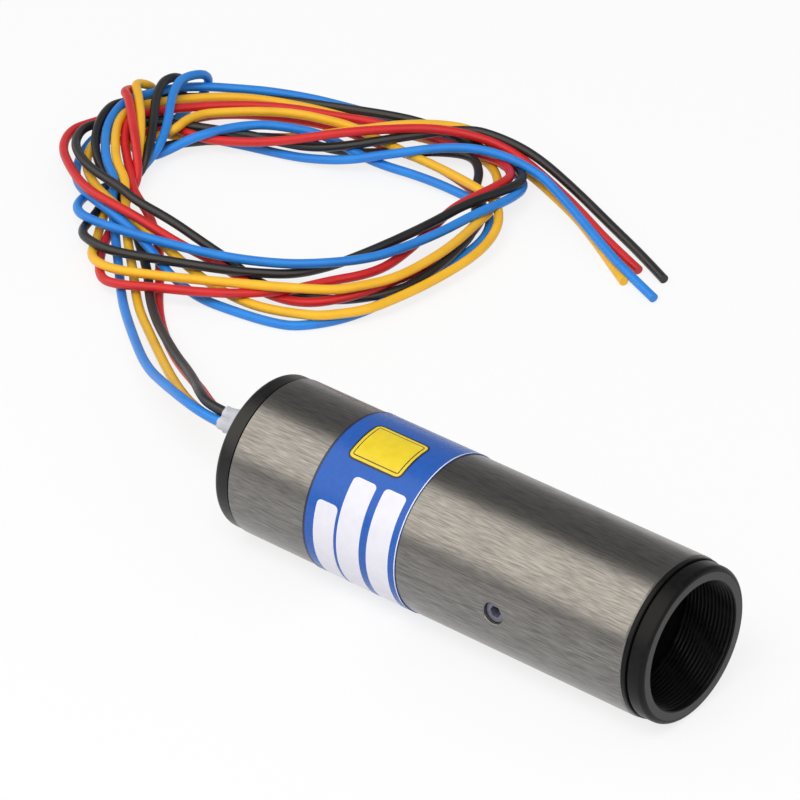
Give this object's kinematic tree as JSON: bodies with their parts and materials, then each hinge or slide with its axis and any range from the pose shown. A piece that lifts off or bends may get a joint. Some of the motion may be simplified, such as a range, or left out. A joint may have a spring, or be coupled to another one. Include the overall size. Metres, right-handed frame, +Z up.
{
  "type": "laser diode module",
  "caption": "Cylindrical laser diode module with a threaded black nose, a brushed metal barrel, a blue label band and coloured leads wound into a loose hank.",
  "frame": {"origin": "on the surface that the module lies on, under the barrel's axis, halfway between the front face and the end of the lead seal", "axes": "+X along the barrel's axis, out of the nose; +Y to the side where the hank of leads lies; +Z up"},
  "size_m": [0.1369, 0.0918, 0.0191],
  "materials": {
    "dark_brushed_metal": "fine lengthwise brushing under dark anodising",
    "black_anodised": "satin black anodising on turned metal",
    "coated_glass": "polished, with a blue anti-reflection coating",
    "spring_steel": "bright drawn wire",
    "brass_block": "turned brass",
    "gold_plate": "thin gold plating",
    "dark_chip": "polished crystal",
    "blackened_steel": "black oxide",
    "green_board": "solder mask over glass laminate",
    "moulded_black": "moulded epoxy",
    "can_metal": "drawn can",
    "ferrite": "sintered ferrite with lacquered winding",
    "blue_moulding": "moulded plastic",
    "white_sealant": "cured silicone",
    "blue_film": "printed polyester film",
    "red_insulation": "smooth extruded insulation",
    "black_insulation": "smooth extruded insulation",
    "yellow_insulation": "smooth extruded insulation",
    "blue_insulation": "smooth extruded insulation",
    "mixed_leads": "loose turns of red, black, yellow and blue leads"
  },
  "bodies": {
    "root": {"housing_barrel": "dark_brushed_metal", "nose_ring": "black_anodised", "lens_cell": "black_anodised", "lens_retaining_ring": "black_anodised", "collimating_lens": "coated_glass", "lens_spring": "spring_steel", "diode_holder": "brass_block", "diode_header": "gold_plate", "diode_chip": "dark_chip", "diode_can": "gold_plate", "diode_window": "coated_glass", "diode_pins": "gold_plate", "diode_clamp_ring": "brass_block", "grub_screw": "blackened_steel", "driver_board": "green_board", "driver_chip": "moulded_black", "pass_transistor": "moulded_black", "filter_capacitors": "can_metal", "choke_coil": "ferrite", "power_trimmer": "blue_moulding", "chip_resistors": "moulded_black", "rear_cap": "black_anodised", "lead_seal": "white_sealant", "label_band": "blue_film", "lead_hank": "mixed_leads", "red_lead_inner": "red_insulation", "red_lead_exit": "red_insulation", "red_lead_end": "red_insulation", "black_lead_inner": "black_insulation", "black_lead_exit": "black_insulation", "black_lead_end": "black_insulation", "yellow_lead_inner": "yellow_insulation", "yellow_lead_exit": "yellow_insulation", "yellow_lead_end": "yellow_insulation", "blue_lead_inner": "blue_insulation", "blue_lead_exit": "blue_insulation", "blue_lead_end": "blue_insulation"}
  },
  "joints": []
}
